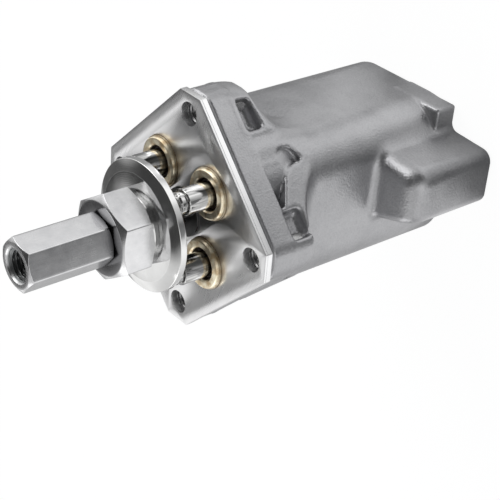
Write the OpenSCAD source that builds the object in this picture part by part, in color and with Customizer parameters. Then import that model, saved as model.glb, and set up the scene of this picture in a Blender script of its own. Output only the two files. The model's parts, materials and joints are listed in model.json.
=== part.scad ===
// Pilot control valve: a four-way hydraulic joystick valve, millimetres.
// Origin: centre of the mounting plate's outer face. +Z: up the control stick.
// The four pushrods stand on +X, +Y, -X and -Y.

/* [Mounting plate] */
// Side of the square mounting plate
plate_w = 75; // [72:0.5:84]
// Thickness of the mounting plate
plate_t = 3; // [2.4:0.1:5]
// Cut on each corner, measured along the side
corner_cut = 8; // [5:0.5:10]
// Distance between the mounting holes
hole_pitch = 56; // [53:0.5:58]
// Diameter of the mounting holes
hole_d = 9; // [6:0.1:10]

/* [Pushrods] */
// Distance of each pushrod from the stick axis
rod_circle_r = 20.5; // [19.5:0.1:22]
// Diameter of a pushrod
rod_d = 10; // [8:0.1:10.4]
// Length of a pushrod, foot to dome
rod_len = 40.5; // [39:0.1:43]
// Radius of the dome on top of a pushrod
dome_r = 5.4; // [5.2:0.1:6]
// Diameter of the head above the neck
rod_head_d = 8.4; // [7:0.1:8.6]
// Height of the head cylinder below its dome
rod_head_h = 1.6; // [1:0.1:2.4]
// Diameter of the neck under the head
rod_neck_d = 7.2; // [5:0.1:7.4]
// Height of the neck
rod_neck_h = 0.7; // [0.4:0.1:1.2]

/* [Guide bushes] */
// Outside diameter of a brass bush
bush_d = 20; // [18.5:0.1:21]
// Height of a bush above the plate
bush_proud = 2; // [0.8:0.1:3]
// Depth of a bush below the plate
bush_depth = 11; // [10:0.1:11.5]
// Diameter of the collar that the plate holds down
bush_collar_d = 23; // [22.2:0.1:24]
// Thickness of that collar
bush_collar_h = 2.7; // [2:0.1:3.2]
// Diameter of the wiper recess in a bush
wiper_d = 12.6; // [12:0.1:14]
// Height of the wiper ring
wiper_h = 3; // [2:0.1:3.4]
// Depth of the wiper ring's top below the bush face
wiper_sink = 1.6; // [0.6:0.1:2.2]
// Wire diameter of the O-ring on a bush
oring_d = 1.8; // [1.4:0.1:2]

/* [Body casting] */
// Height of the body under the mounting plate
body_h = 105; // [102:0.5:112]
// Radius of the four rounded ridges
ridge_r = 15.8; // [14.8:0.1:16.3]
// How far the flats between the ridges lie inside their tangent
ridge_sink = 0.4; // [0.2:0.1:1]
// How far the side of the flange stands in from the plate
flange_inset = 0.5; // [0:0.1:1]
// Height of the full-width strip of the flange
strip_h = 10.5; // [8:0.1:11.5]
// Gap between the plate and the strip, over an inset pad
pad_h = 0.9; // [0.4:0.1:1.5]
// How far that pad stands in from the flange side
pad_inset = 0.8; // [0.4:0.1:2]
// How far the rear of the flange stands in from the strip
rear_inset = 0.5; // [0.2:0.1:1]
// Depth of the rear of the flange at its corners, from the plate's face
rear_z = 23.2; // [22.6:0.1:24]
// Radius of the hollow that leads from the rear of the flange into the body
rear_fillet_r = 18; // [14:0.5:20]
// Depth of the top of the arch between a side recess and the rear
arch_z = 33; // [31:0.5:35]
// Depth where the straight side of the arch ends
arch_shoulder_z = 26.4; // [26:0.1:27.5]
// Distance of that side from the middle of the ridge
arch_y = 1.4; // [1:0.1:2]
// Radius of the shoulder of the arch
arch_r = 4.5; // [3.5:0.1:5.5]
// Depth of the recess at its end beside a core pocket
recess_end_z = 17; // [16:0.1:18]
// Height of a core pocket in a flange side
pocket_h = 7; // [5:0.1:8]
// Width of a core pocket
pocket_w = 10.4; // [8:0.1:11.5]
// Depth of a core pocket into the flange
pocket_deep = 8; // [5:0.1:9]
// Distance from the flange middle to the near end of a core pocket
pocket_y = 15.4; // [14:0.1:16]
// Reach of the square lug at the end of the body, beside the port boss
lug_reach = 30.3; // [29.9:0.1:31.5]
// Top side of that lug
lug_top = 30.2; // [29.9:0.1:31.5]
// Length of the lug
lug_h = 11; // [6:0.5:14]
// Corner radius of the lug
lug_r = 2; // [1:0.1:3]

/* [Port boss] */
// Reach of the port boss from the stick axis
boss_reach = 52; // [50:0.5:56]
// Top side of the port boss at its front
boss_top = 19; // [17:0.5:20]
// Rise of the top side towards the body, per mm
boss_top_draft = 0.05; // [0:0.01:0.1]
// Under side of the port boss at its front
boss_under = 2; // [1:0.5:4]
// Fall of the under side towards the body, per mm
boss_under_draft = 0.27; // [0.2:0.01:0.35]
// Height of the port boss above the foot face
boss_h = 40.5; // [36:0.5:46]
// Rounding between the front of the boss and its upper end
boss_end_r = 8; // [5:0.5:9]
// Rounding of the long top edges of the boss
boss_edge_r = 5; // [3:0.1:5.5]
// Rounding of its long lower edge
boss_low_r = 3; // [2:0.1:4]

/* [Ports and galleries] */
// Major diameter of a port thread, G 1/4
port_d = 13.16; // [11:0.01:13.16]
// Depth of a port thread
port_deep = 11; // [9:0.5:13]
// Distance of the pressure port from the stick axis
pressure_port_v = 41; // [40:0.5:42]
// Place of the pressure port across the boss
pressure_port_u = 5; // [4:0.5:6]
// Diameter of the galleries
gallery_d = 4; // [3:0.1:5]
// Height of the return gallery above the foot face
return_gallery_h = 42.3; // [41:0.1:44]
// Height of the pressure gallery above the foot face
pressure_gallery_h = 29.5; // [28:0.1:31]
// Height of the ring groove where a gallery meets a spool
groove_h = 3; // [2.4:0.1:3.4]
// Diameter of that ring groove
groove_d = 10.6; // [9.6:0.1:12]

/* [Spring chambers] */
// Diameter of a spring chamber
chamber_d = 20; // [19.6:0.1:20.4]
// Depth of a spring chamber from the plate's outer face
chamber_z = 57; // [56.5:0.1:58]
// Diameter of a spring seat
seat_d = 18.4; // [17.6:0.1:18.8]
// Thickness of a spring seat
seat_h = 5.5; // [4.8:0.1:6]
// Depth of the pushrod's socket in the seat
socket_deep = 2.5; // [1.5:0.1:3.2]
// Height of the ring that centres the springs
seat_ring_h = 2; // [1:0.1:2.6]
// Mean diameter of a return spring
return_spring_d = 15.2; // [15:0.1:15.6]
// Wire diameter of a return spring
return_wire_d = 1.8; // [1.4:0.1:2]
// Turns of a return spring
return_turns = 6; // [5:1:7]
// Mean diameter of a metering spring
metering_spring_d = 8.4; // [8:0.1:8.6]
// Wire diameter of a metering spring
metering_wire_d = 1.2; // [0.8:0.1:1.3]
// Turns of a metering spring
metering_turns = 7; // [5:1:8]

/* [Spools] */
// Diameter of a spool
spool_d = 8; // [7:0.1:8.4]
// Gap between the spool's lower end and the port's bottom
spool_end_gap = 3; // [2.5:0.1:4]
// Diameter of the spool's neck between its lands
spool_neck_d = 5.2; // [4.4:0.1:5.8]
// How far the upper land laps into the return groove
return_lap = 2.6; // [1.6:0.1:2.8]
// How far the lower land covers the pressure groove's edge
pressure_lap = 1.5; // [1:0.1:2]
// Diameter of the spring collar on a spool
collar_d = 10.4; // [9.8:0.1:11]
// Thickness of the spring collar
collar_h = 2; // [1.4:0.1:2.6]
// Height of the metering spring
metering_h = 15; // [14:0.1:16]
// Diameter of the stem above the collar
stem_d = 3.6; // [3:0.1:4]
// Diameter of the stem's head
stem_head_d = 5.2; // [4.4:0.1:5.8]
// Thickness of the stem's head
stem_head_h = 1.4; // [1:0.1:2]
// Gap between the stem's head and the seat
stem_gap = 5.6; // [5.4:0.1:6]
// Diameter of the bore in the spool's lower end
spool_bore_d = 3.2; // [2.4:0.1:3.6]
// Diameter of the cross hole in a spool
cross_hole_d = 2; // [1.4:0.1:2.4]

/* [Universal joint] */
// Height of the joint's centre above the plate
pivot_z = 6.8; // [6.7:0.1:7.2]
// Height of the swash plate's under side above the joint's centre
swash_rise = 9.9; // [9.6:0.1:10.4]
// Radius of an ear around its pin
ear_r = 3.2; // [3:0.1:3.4]
// Thickness of an ear
ear_t = 2.5; // [2:0.1:2.8]
// Width of the block between the ears
block_w = 9.6; // [9:0.1:9.8]
// Height of that block
block_h = 6.4; // [5.6:0.1:6.6]
// Diameter of a joint pin
pin_d = 4; // [3:0.1:4.2]
// Thickness of the joint base's shoulder
base_t = 0.8; // [0.5:0.1:0.9]
// Diameter of that shoulder
base_d = 19; // [16:0.5:20]
// Diameter of the joint base's screw, M12
base_screw_d = 12; // [8:0.5:12]
// Length of that screw
base_screw_len = 20; // [14:0.5:24]
// Diameter of the crown that carries the swash plate
crown_d = 24; // [18:0.5:25]
// Thickness of the crown
crown_t = 3.1; // [2.6:0.1:3.4]

/* [Stick] */
// Gap between a pushrod's dome and the swash plate at rest
dome_gap = 0.2; // [0.15:0.01:0.3]
// Diameter of the swash plate
swash_d = 50.2; // [48:0.1:53]
// Thickness of the swash plate
swash_t = 4.2; // [3.4:0.1:5]
// Width of the bevel on the swash plate's face
swash_bevel_w = 2.7; // [1:0.1:3.5]
// Depth of that bevel
swash_bevel_h = 1; // [0.4:0.1:1.6]
// Diameter of the hub under the lock nut
hub_d = 24; // [20:0.5:27]
// Height of the hub
hub_h = 2.1; // [1:0.1:3]
// Diameter of the stud through the swash plate, M16
stud_d = 16; // [14:0.5:17]
// Width across the flats of the lock nut
lock_af = 29.6; // [27:0.1:32]
// Height of the lock nut
lock_h = 13.5; // [11:0.5:16]
// Turn of the lock nut about the stick
lock_turn = -11; // [-30:1:30]
// Width across the flats of the coupling nut
coupling_af = 18; // [17:0.1:20]
// Length of the coupling nut
coupling_h = 34; // [30:0.5:40]
// Turn of the coupling nut about the stick
coupling_turn = 4.5; // [-30:0.5:30]
// Diameter of the handle thread, M12
handle_thread_d = 12; // [10:0.1:12.5]
// Length of the stud's thin end inside the coupling nut
stud_end_len = 14; // [10:0.5:16]
// Height of the relief between the stud's end and the handle thread
relief_h = 1; // [0.6:0.1:2]
// Depth of that relief below the thread
relief_deep = 0.5; // [0.2:0.1:1]
// Diameter of the countersink at the coupling nut's mouth
mouth_d = 14.4; // [13:0.1:15]

/* [Hidden] */
$fn = 96;
e = 0.01;
// A rounding stands this far out of the flats beside it, so that it crosses them at an angle
proud = 0.02;
// The hollow beside a flat stands this far in from the hollows round the ridges, for the same reason
hollow_step = 0.1;
// How far an arch runs past the middle of its ridge, and how far its top slants
arch_lap = 0.5;
arch_slant = 1;
run_gap = 0.03;
fit_gap = 0.05;
pin_gap = 0.03;
// Depths of the main levels below the plate's outer face
body_top = -plate_t;
flange_w = plate_w - 2 * flange_inset;
strip_top = body_top - pad_h;
strip_end = strip_top - strip_h;
foot_z = -plate_t - body_h;
// Flats of the body lie this far from the axis, on the diagonals
flat_r = rod_circle_r / sqrt(2) + ridge_r;
// Stick levels
dome_top = pivot_z + swash_rise - dome_gap;
swash_z = pivot_z + swash_rise;
hub_top = swash_z + swash_t + hub_h;
lock_top = hub_top + lock_h;
coupling_top = lock_top + coupling_h;
// Pushrod levels
dome_c = dome_top - dome_r;
rod_foot = dome_top - rod_len;
seat_top = rod_foot + socket_deep;
seat_under = seat_top - seat_h;
collar_top = seat_under - metering_h;
// Spool levels
bush_foot = body_top - bush_depth;
port_floor = foot_z + port_deep;
spool_end = port_floor + spool_end_gap;
return_z = foot_z + return_gallery_h;
pressure_z = foot_z + pressure_gallery_h;
upper_land_end = return_z + groove_h / 2 - return_lap;
lower_land_top = pressure_z + groove_h / 2 + pressure_lap;
// Seats of the springs
return_r = return_spring_d / 2;
metering_r = metering_spring_d / 2;
ring_in = metering_r + metering_wire_d / 2 + 0.2;
ring_out = return_r - return_wire_d / 2 - 0.3;
pocket_z = strip_end - pocket_h;

// Rod 1 stands on +X, 2 on +Y, 3 on -X, 4 on -Y
module at_rod(i) {
    rotate([0, 0, 90 * (i - 1)]) translate([rod_circle_r, 0, 0]) children();
}

module at_rods() {
    for (i = [1:4]) at_rod(i) children();
}

module span(d, z0, z1) {
    translate([0, 0, z0]) cylinder(d = d, h = z1 - z0);
}

module ring(d_out, d_in, z0, z1) {
    difference() {
        span(d_out, z0, z1);
        span(d_in, z0 - 1, z1 + 1);
    }
}

// Square with its corners cut off at 45 degrees
module cut_square(w, cut) {
    h = w / 2;
    c = h - cut;
    polygon([[h, -c], [h, c], [c, h], [-c, h], [-h, c], [-h, -c], [-c, -h], [c, -h]]);
}

// Section of the casting: four round ridges joined by flats
module ridge_section() {
    k = (ridge_r - ridge_sink) / sqrt(2);
    for (a = [0, 90, 180, 270]) rotate(a) translate([rod_circle_r, 0]) circle(r = ridge_r);
    polygon([
        for (a = [0, 90, 180, 270]) for (s = [-1, 1])
            let (x = rod_circle_r + k, y = s * k) [x * cos(a) - y * sin(a), x * sin(a) + y * cos(a)]
    ]);
}

// Profile of the hollow behind the flange, X out from a ridge, Y down from the rear face
module hollow_profile() {
    c = rear_fillet_r - ridge_sink;
    difference() {
        translate([-ridge_r / 2, -2 * ridge_sink]) square([ridge_r / 2 + c, c + 2 * ridge_sink]);
        translate([c, c]) circle(r = rear_fillet_r);
    }
}

// Rear of the flange: a square block that runs hollow into the ridges and flats
module flange_rear() {
    c = rear_fillet_r - ridge_sink;
    half = rod_circle_r / sqrt(2);
    intersection() {
        translate([0, 0, -rear_z - c]) linear_extrude(rear_z + c + strip_end + e)
            cut_square(flange_w - 2 * rear_inset, corner_cut);
        union() {
            translate([0, 0, -rear_z]) span(3 * flange_w, 0, rear_z);
            translate([0, 0, -rear_z]) at_rods() rotate([180, 0, 0]) rotate_extrude()
                intersection() {
                    translate([ridge_r, 0]) hollow_profile();
                    translate([0, -ridge_r]) square(2 * flange_w);
                }
            for (a = [45:90:315]) rotate([0, 0, a]) translate([flat_r - hollow_step, half, -rear_z])
                rotate([90, 0, 0]) linear_extrude(2 * half) mirror([0, 1]) hollow_profile();
        }
    }
}

// Recess between the strip and the rear of the flange; its lower side is an arch beside a ridge
module side_recess() {
    out = flange_w / 2 + 1;
    c = [-arch_y - arch_r, -arch_shoulder_z];
    end = [-pocket_y, -recess_end_z];
    t = atan2(end[1] - c[1], end[0] - c[0]) - acos(arch_r / norm(end - c));
    translate([rod_circle_r, 0, 0]) rotate([90, 0, 90]) linear_extrude(out - rod_circle_r)
        difference() {
            polygon([
                [arch_lap, strip_end], [arch_lap, -arch_z], [-arch_y, -arch_z + arch_slant],
                [-arch_y, c[1]], c, c + arch_r * [cos(t), sin(t)], end, [-pocket_y, strip_end]
            ]);
            translate(c) circle(r = arch_r + proud);
        }
}

module core_pocket(side) {
    y0 = side > 0 ? pocket_y : -pocket_y - pocket_w;
    translate([flange_w / 2 - pocket_deep, y0, pocket_z])
        cube([pocket_deep + 1, pocket_w, pocket_h]);
}

// Square lug at the end of the body, on the ridge of rod 1.
// In it and in the boss X points out from the flat, Y to the corner of rods 1 and 2.
module end_lug() {
    rotate([0, 0, -45]) translate([0, 0, foot_z]) linear_extrude(lug_h) {
        square([lug_reach, lug_top - lug_r]);
        square([lug_reach - lug_r, lug_top]);
        translate([lug_reach - lug_r, lug_top - lug_r]) circle(r = lug_r + proud);
    }
}

// Plan of the port boss: its sides spread towards the body, its two front corners are rounded
module boss_plan() {
    low = atan(boss_under_draft);
    high = atan(boss_top_draft);
    x0 = boss_reach - boss_low_r;
    y0 = -boss_under - boss_under_draft * boss_low_r + boss_low_r / cos(low);
    x1 = boss_reach - boss_edge_r;
    y1 = boss_top + boss_top_draft * boss_edge_r - boss_edge_r / cos(high);
    polygon([
        [0, -boss_under - boss_under_draft * boss_reach],
        [x0 + boss_low_r * sin(low), y0 - boss_low_r * cos(low)], [boss_reach, y0],
        [boss_reach, y1], [x1 + boss_edge_r * sin(high), y1 + boss_edge_r * cos(high)],
        [0, boss_top + boss_top_draft * boss_reach]
    ]);
    translate([x0, y0]) circle(r = boss_low_r + proud);
    translate([x1, y1]) circle(r = boss_edge_r + proud);
}

// Side of the port boss, seen along its length: the front runs round into the upper end
module boss_side() {
    polygon([[0, -1], [boss_reach, -1], [boss_reach, boss_h - boss_end_r],
        [boss_reach - boss_end_r, boss_h], [0, boss_h]]);
    translate([boss_reach - boss_end_r, boss_h - boss_end_r]) circle(r = boss_end_r + proud);
}

// Front of the port boss: its upper end is rounded at both sides
module boss_front() {
    r = boss_edge_r;
    y0 = -boss_under - boss_under_draft * boss_reach - 1;
    y1 = boss_top + boss_top_draft * (boss_reach - flat_r);
    polygon([[y0, -1], [y1, -1], [y1, boss_h - r], [y1 - r, boss_h], [y0, boss_h]]);
    translate([y1 - r, boss_h - r]) circle(r = r + proud);
}

// Boss of the pressure port: its plan, its side and its front cut each other
module port_boss() {
    wide = 3 * boss_reach;
    rotate([0, 0, -45]) translate([0, 0, foot_z]) intersection() {
        linear_extrude(boss_h) boss_plan();
        translate([0, wide / 2, 0]) rotate([90, 0, 0]) linear_extrude(wide) boss_side();
        rotate([90, 0, 90]) linear_extrude(boss_reach + 1) boss_front();
    }
}

module galleries() {
    // Return: a ring of four arms from the middle, down to the middle port
    for (a = [0:90:270]) rotate([0, 0, a]) translate([0, 0, return_z]) rotate([0, 90, 0])
        cylinder(d = gallery_d, h = rod_circle_r);
    span(gallery_d + 2, port_floor - e, return_z);
    // Pressure: a square ring between the spools, fed from the boss
    for (a = [45:90:315]) rotate([0, 0, a])
        translate([rod_circle_r / sqrt(2), -rod_circle_r / sqrt(2), pressure_z])
        rotate([-90, 0, 0]) cylinder(d = gallery_d, h = rod_circle_r * sqrt(2));
    rotate([0, 0, -45]) translate([0, pressure_port_u, 0]) {
        translate([rod_circle_r / sqrt(2), 0, pressure_z]) rotate([0, 90, 0])
            cylinder(d = gallery_d, h = pressure_port_v - rod_circle_r / sqrt(2));
        translate([pressure_port_v, 0, 0]) span(gallery_d + 1, port_floor - e, pressure_z);
    }
}

module valve_body() {
    color("silver") difference() {
        union() {
            translate([0, 0, strip_top]) linear_extrude(pad_h)
                cut_square(flange_w - 2 * pad_inset, corner_cut);
            translate([0, 0, strip_end]) linear_extrude(strip_h)
                cut_square(flange_w, corner_cut);
            difference() {
                flange_rear();
                for (a = [0:90:270]) rotate([0, 0, a]) {
                    side_recess();
                    core_pocket(1);
                    core_pocket(-1);
                }
            }
            translate([0, 0, foot_z]) linear_extrude(body_top - pad_h - foot_z) ridge_section();
            end_lug();
            port_boss();
        }
        at_rods() {
            span(chamber_d, -chamber_z, body_top + e);
            span(bush_collar_d, body_top - bush_collar_h, body_top + e);
            span(spool_d + 2 * run_gap, port_floor - 1, -chamber_z + 1);
            span(groove_d, return_z - groove_h / 2, return_z + groove_h / 2);
            span(groove_d, pressure_z - groove_h / 2, pressure_z + groove_h / 2);
            span(port_d, foot_z - 1, port_floor);
        }
        for (x = [-1, 1]) for (y = [-1, 1]) translate([x * hole_pitch / 2, y * hole_pitch / 2, 0])
            span(hole_d, -rear_z - rear_fillet_r, body_top + e);
        span(base_screw_d, -base_screw_len - 1, body_top + e);
        span(port_d, foot_z - 1, port_floor);
        rotate([0, 0, -45]) translate([pressure_port_v, pressure_port_u, 0])
            span(port_d, foot_z - 1, port_floor);
        galleries();
    }
}

module mounting_plate() {
    color("gainsboro") difference() {
        translate([0, 0, -plate_t]) linear_extrude(plate_t) cut_square(plate_w, corner_cut);
        for (x = [-1, 1]) for (y = [-1, 1]) translate([x * hole_pitch / 2, y * hole_pitch / 2, 0])
            span(hole_d, -plate_t - 1, 1);
        at_rods() span(bush_d + 2 * fit_gap, -plate_t - 1, 1);
        span(base_screw_d + 2 * fit_gap, -plate_t - 1, 1);
    }
}

module bush(i) {
    r = bush_d / 2;
    groove_z = (body_top - bush_collar_h + bush_foot) / 2;
    g = oring_d / 2 + 0.2;
    color("goldenrod") at_rod(i) rotate_extrude() polygon([
        [rod_d / 2 + run_gap, bush_foot], [r - 0.6, bush_foot], [r, bush_foot + 0.6],
        [r, groove_z - g], [r - oring_d, groove_z - g], [r - oring_d, groove_z + g],
        [r, groove_z + g], [r, body_top - bush_collar_h],
        [bush_collar_d / 2, body_top - bush_collar_h], [bush_collar_d / 2, body_top],
        [r, body_top], [r, bush_proud - 0.6], [r - 0.6, bush_proud],
        [wiper_d / 2 + 0.7, bush_proud], [wiper_d / 2, bush_proud - 0.7],
        [wiper_d / 2, bush_proud - wiper_sink - wiper_h],
        [rod_d / 2 + run_gap, bush_proud - wiper_sink - wiper_h]
    ]);
}

module bush_o_ring(i) {
    z = (body_top - bush_collar_h + bush_foot) / 2;
    color("black") at_rod(i) translate([0, 0, z]) rotate_extrude()
        translate([bush_d / 2 - oring_d / 2, 0]) circle(d = oring_d);
}

// Wiper ring with a raised lip against the rod
module rod_wiper(i) {
    r_in = rod_d / 2 + run_gap;
    r_out = wiper_d / 2;
    z = bush_proud - wiper_sink;
    color("dimgray") at_rod(i) rotate_extrude() polygon([
        [r_in, z - wiper_h], [r_out, z - wiper_h], [r_out, z - 0.8],
        [(r_in + r_out) / 2, z - 0.8], [r_in + 0.3, z], [r_in, z]
    ]);
}

module pushrod(i) {
    dome_edge = dome_c + sqrt(dome_r * dome_r - rod_head_d * rod_head_d / 4);
    head_foot = dome_edge - rod_head_h;
    shoulder = head_foot - rod_neck_h;
    color("lightgray") at_rod(i) {
        rotate_extrude() polygon([
            [0, rod_foot], [rod_d / 2, rod_foot], [rod_d / 2, shoulder - 0.5],
            [rod_d / 2 - 0.5, shoulder], [rod_neck_d / 2, shoulder],
            [rod_neck_d / 2, head_foot], [rod_head_d / 2, head_foot],
            [rod_head_d / 2, dome_edge], [0, dome_edge]
        ]);
        intersection() {
            translate([0, 0, dome_c]) sphere(r = dome_r);
            span(rod_head_d, dome_edge - 0.5, dome_top + 1);
        }
    }
}

module spring_seat(i) {
    color("slategray") at_rod(i) difference() {
        union() {
            span(seat_d, seat_under, seat_top);
            ring(2 * ring_out, 2 * ring_in, seat_under - seat_ring_h, seat_under + e);
        }
        span(rod_d, rod_foot, seat_top + 1);
    }
}

// Height along a coil of wire d after t of its n turns: closed end turns, even pitch between
function coil_z(t, n, d, h) =
    let (close = 1.08 * d, pitch = (h - d - 2 * close) / (n - 2))
    d / 2 + close * min(t, 1) + pitch * min(max(t - 1, 0), n - 2) + close * max(t - n + 1, 0);

module coil(r, d, n, h, steps, sides) {
    count = n * steps;
    ring_at = [for (k = [0:count]) let (t = k / steps, a = 360 * t, z = coil_z(t, n, d, h))
        for (j = [0:sides - 1]) let (b = 360 * j / sides, x = r + d / 2 * cos(b))
            [x * cos(a), x * sin(a), z + d / 2 * sin(b)]];
    faces = concat(
        [[for (j = [0:sides - 1]) j]],
        [for (k = [0:count - 1]) for (j = [0:sides - 1]) let (m = (j + 1) % sides)
            [k * sides + j, (k + 1) * sides + j, (k + 1) * sides + m, k * sides + m]],
        [[for (j = [sides - 1:-1:0]) count * sides + j]]
    );
    polyhedron(ring_at, faces);
}

module return_spring(i) {
    h = seat_under + chamber_z;
    color("gray") at_rod(i) translate([0, 0, -chamber_z])
        coil(return_r, return_wire_d, return_turns, h, 20, 6);
}

module metering_spring(i) {
    color("darkgray") at_rod(i) translate([0, 0, collar_top])
        coil(metering_r, metering_wire_d, metering_turns, metering_h, 16, 5);
}

module spool(i) {
    land_top = -chamber_z - 1;
    color("silver") at_rod(i) difference() {
        union() {
            span(stem_head_d, seat_under - stem_gap - stem_head_h, seat_under - stem_gap);
            span(stem_d, collar_top - collar_h, seat_under - stem_gap);
            span(collar_d, collar_top - collar_h, collar_top);
            span(spool_neck_d + 0.8, land_top - e, collar_top - collar_h + e);
            span(spool_d, upper_land_end, land_top);
            span(spool_neck_d, lower_land_top - e, upper_land_end + e);
            span(spool_d, spool_end, lower_land_top);
        }
        span(spool_bore_d, spool_end - 1, lower_land_top + 2);
        translate([0, 0, lower_land_top + 1.5]) rotate([0, 90, 0])
            cylinder(d = cross_hole_d, h = spool_d, center = true);
    }
}

// One pair of ears, across X, from height z0 to the pin
module ears(z0, z1) {
    for (s = [-1, 1]) difference() {
        union() {
            translate([s * (block_w / 2 + 0.2 + ear_t / 2), 0, pivot_z]) rotate([0, 90, 0])
                cylinder(r = ear_r, h = ear_t, center = true);
            translate([s * (block_w / 2 + 0.2 + ear_t / 2) - ear_t / 2, -ear_r, z0])
                cube([ear_t, 2 * ear_r, z1 - z0]);
        }
        translate([0, 0, pivot_z]) rotate([0, 90, 0])
            cylinder(d = pin_d + 2 * pin_gap, h = 4 * block_w, center = true);
    }
}

module joint_base() {
    color("darkslategray") {
        ears(base_t - e, pivot_z);
        span(base_d, 0, base_t);
        span(base_screw_d, -base_screw_len, e);
    }
}

module joint_block() {
    color("slategray") difference() {
        translate([-block_w / 2, -block_w / 2, pivot_z - block_h / 2])
            cube([block_w, block_w, block_h]);
        for (a = [0, 90]) rotate([0, 0, a]) translate([0, 0, pivot_z]) rotate([0, 90, 0])
            cylinder(d = pin_d, h = 2 * block_w, center = true);
    }
}

module joint_long_pin() {
    reach = block_w / 2 + 0.2 + ear_t;
    color("lightgray") translate([0, 0, pivot_z]) rotate([0, 90, 0])
        cylinder(d = pin_d, h = 2 * reach, center = true);
}

module joint_short_pins() {
    reach = block_w / 2 + 0.2 + ear_t;
    inner = pin_d / 2 + 0.05;
    color("lightgray") for (s = [-1, 1]) translate([0, s * (inner + reach) / 2, pivot_z])
        rotate([90, 0, 0]) cylinder(d = pin_d, h = reach - inner, center = true);
}

module joint_fork() {
    crown_z = swash_z - crown_t;
    color("darkslategray") {
        rotate([0, 0, 90]) ears(pivot_z, crown_z + e);
        span(crown_d, crown_z, swash_z);
        span(stud_d, swash_z - e, lock_top);
        span(handle_thread_d, lock_top - e, lock_top + stud_end_len);
    }
}

module swash_plate() {
    r = swash_d / 2;
    top = swash_z + swash_t;
    color("lightgray") difference() {
        rotate_extrude() polygon([
            [0, swash_z], [r - 0.3, swash_z], [r, swash_z + 0.3], [r, top - swash_bevel_h],
            [r - swash_bevel_w, top], [hub_d / 2, top], [hub_d / 2, hub_top], [0, hub_top]
        ]);
        span(stud_d + 2 * fit_gap, swash_z - 1, hub_top + 1);
    }
}

// Hexagon bar with its corners turned off at both ends
module hex_bar(af, z0, z1) {
    h = z1 - z0;
    corner = af / sqrt(3);
    face_r = 0.475 * af;
    drop = (corner + 1 - face_r) * tan(30);
    intersection() {
        translate([0, 0, z0]) cylinder(r = corner, h = h, $fn = 6);
        rotate_extrude() polygon([
            [0, z0], [face_r, z0], [corner + 1, z0 + drop],
            [corner + 1, z1 - drop], [face_r, z1], [0, z1]
        ]);
    }
}

module lock_nut() {
    color("lightgray") difference() {
        rotate([0, 0, lock_turn]) hex_bar(lock_af, hub_top, lock_top);
        span(stud_d, hub_top - 1, lock_top + 1);
    }
}

module coupling_nut() {
    c = (mouth_d - handle_thread_d) / 2;
    color("lightgray") difference() {
        rotate([0, 0, coupling_turn]) hex_bar(coupling_af, lock_top, coupling_top);
        span(handle_thread_d, lock_top - 1, coupling_top + 1);
        span(handle_thread_d + 2 * relief_deep, lock_top + stud_end_len,
            lock_top + stud_end_len + relief_h);
        translate([0, 0, coupling_top - c]) cylinder(d1 = handle_thread_d, d2 = mouth_d + 2, h = c + 1);
    }
}

valve_body();
mounting_plate();
for (i = [1:4]) {
    bush(i);
    bush_o_ring(i);
    rod_wiper(i);
    pushrod(i);
    spring_seat(i);
    return_spring(i);
    metering_spring(i);
    spool(i);
}
joint_base();
joint_block();
joint_long_pin();
joint_short_pins();
joint_fork();
swash_plate();
lock_nut();
coupling_nut();
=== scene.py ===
# %% [markdown]
# # A pilot control valve, dressed for the camera
# The object is a hydraulic joystick valve: a cast body with a square flange, a steel plate on top,
# four polished pushrods in brass bushes, and a swash plate on a universal joint that pushes them.
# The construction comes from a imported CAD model, and this lesson gives it its looks. Most pieces are
# surfaces worked out with numpy, in millimetres, in the same frame as the CAD: +Z runs up the stick.

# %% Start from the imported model
import json

import bmesh
import bpy
import numpy as np
from mathutils import Matrix, Vector
from mathutils.geometry import tessellate_polygon


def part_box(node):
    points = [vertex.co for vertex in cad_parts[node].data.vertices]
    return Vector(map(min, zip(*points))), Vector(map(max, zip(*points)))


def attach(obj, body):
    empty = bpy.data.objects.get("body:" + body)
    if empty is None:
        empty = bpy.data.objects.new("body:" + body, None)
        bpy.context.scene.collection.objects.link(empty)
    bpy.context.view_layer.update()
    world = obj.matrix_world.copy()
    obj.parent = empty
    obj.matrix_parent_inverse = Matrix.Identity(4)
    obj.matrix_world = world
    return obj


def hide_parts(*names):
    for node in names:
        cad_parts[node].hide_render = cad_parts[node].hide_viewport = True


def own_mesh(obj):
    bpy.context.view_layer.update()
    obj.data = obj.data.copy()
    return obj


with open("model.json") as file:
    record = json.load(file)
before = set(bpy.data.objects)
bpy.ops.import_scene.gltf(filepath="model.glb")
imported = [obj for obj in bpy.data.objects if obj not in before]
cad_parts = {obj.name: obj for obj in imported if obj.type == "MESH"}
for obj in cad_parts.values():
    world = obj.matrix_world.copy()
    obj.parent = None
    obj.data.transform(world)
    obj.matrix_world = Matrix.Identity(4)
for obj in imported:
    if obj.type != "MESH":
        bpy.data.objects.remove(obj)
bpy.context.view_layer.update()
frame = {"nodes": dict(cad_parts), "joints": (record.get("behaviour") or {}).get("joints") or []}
MM = 0.001

# %% [markdown]
# Every size that the CAD model already has is read from it, so a changed model still fits its looks.
# A node's box gives its lowest and highest corner. The few sizes that a box can't tell, such as a
# rounding, are named where they are first used.

# %% Sizes that the frame gives, in millimetres


def box_of(node):
    """Lowest and highest corner of a CAD node, as two arrays in millimetres."""
    low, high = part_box(node)
    return np.array(low) / MM, np.array(high) / MM


plate_low, plate_high = box_of("mounting_plate")
body_low, body_high = box_of("valve_body")
rod_low, rod_high = box_of("pushrod_1")
bush_low, bush_high = box_of("bush_1")
swash_low, swash_high = box_of("swash_plate")
lock_low, lock_high = box_of("lock_nut")
coupling_low, coupling_high = box_of("coupling_nut")
PLATE_W = plate_high[0] - plate_low[0]
BODY_TOP = body_high[2]
FOOT_Z = body_low[2]
ROD_CIRCLE = (rod_low[0] + rod_high[0]) / 2
ROD_D = rod_high[0] - rod_low[0]
print("plate", round(PLATE_W, 2), "foot at", round(FOOT_Z, 2), "rods on radius", round(ROD_CIRCLE, 2))

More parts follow.
